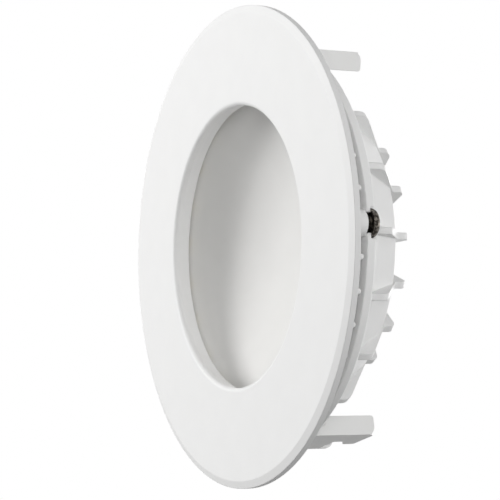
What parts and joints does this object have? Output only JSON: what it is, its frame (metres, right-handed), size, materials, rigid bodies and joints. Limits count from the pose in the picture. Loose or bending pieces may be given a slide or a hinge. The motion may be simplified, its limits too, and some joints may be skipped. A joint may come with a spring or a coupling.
{
  "type": "recessed downlight",
  "caption": "Round white recessed LED downlight with a flat bevelled trim ring, an indirect dome reflector, a ribbed heat sink housing and sprung ceiling arms.",
  "frame": {"origin": "centre of the trim ring's front face", "axes": "+Z along the lamp's axis, up into the ceiling; +X through the first trim screw"},
  "size_m": [0.125, 0.125, 0.0319],
  "materials": {
    "trim_white": "matt white powder coat on die-cast aluminium",
    "housing_white": "white powder coat on die-cast aluminium",
    "reflector_white": "dead matt white diffuse coat on spun aluminium",
    "arm_white": "white powder coat on pressed steel",
    "dark_steel": "dark oxidised steel",
    "zinc_steel": "zinc plated steel",
    "spring_steel": "drawn spring wire",
    "board_white": "white solder mask on an aluminium core",
    "led_phosphor": "phosphor gel in a white frame",
    "pad_grey": "soft heat pad",
    "seal_grey": "soft silicone",
    "grommet_rubber": "matt moulded rubber"
  },
  "bodies": {
    "root": {"trim_ring": "trim_white", "reflector_dome": "reflector_white", "thermal_pad": "pad_grey", "led_board": "board_white", "led_chips": "led_phosphor", "board_screws": "zinc_steel", "housing_seal": "seal_grey", "heat_sink_housing": "housing_white", "trim_screws": "dark_steel", "cable_grommet": "grommet_rubber", "bracket_screws": "zinc_steel", "arm_bracket_a": "arm_white", "arm_pin_a": "arm_white", "arm_spring_a": "spring_steel", "arm_bracket_b": "arm_white", "arm_pin_b": "arm_white", "arm_spring_b": "spring_steel", "arm_bracket_c": "arm_white", "arm_pin_c": "arm_white", "arm_spring_c": "spring_steel"},
    "arm_a": {"spring_arm_a": "arm_white"},
    "arm_b": {"spring_arm_b": "arm_white"},
    "arm_c": {"spring_arm_c": "arm_white"}
  },
  "joints": [
    {"name": "arm_a_fold", "type": "hinge", "parent": "root", "child": "arm_a", "pos_m": [0.00846, -0.04796, 0.0152], "axis": [0.9848, 0.1736, 0], "range_deg": [0, 100], "stiffness_Nm_per_rad": 0.02, "springref_deg": 120.32, "deforming": ["arm_spring_a"]},
    {"name": "arm_b_fold", "type": "hinge", "parent": "root", "child": "arm_b", "pos_m": [0.00846, 0.04796, 0.0152], "axis": [-0.9848, 0.1736, 0], "range_deg": [0, 100], "stiffness_Nm_per_rad": 0.02, "springref_deg": 120.32, "deforming": ["arm_spring_b"]},
    {"name": "arm_c_fold", "type": "hinge", "parent": "root", "child": "arm_c", "pos_m": [-0.0487, 0, 0.0152], "axis": [0, -1, 0], "range_deg": [0, 100], "stiffness_Nm_per_rad": 0.02, "springref_deg": 120.32, "deforming": ["arm_spring_c"]}
  ]
}
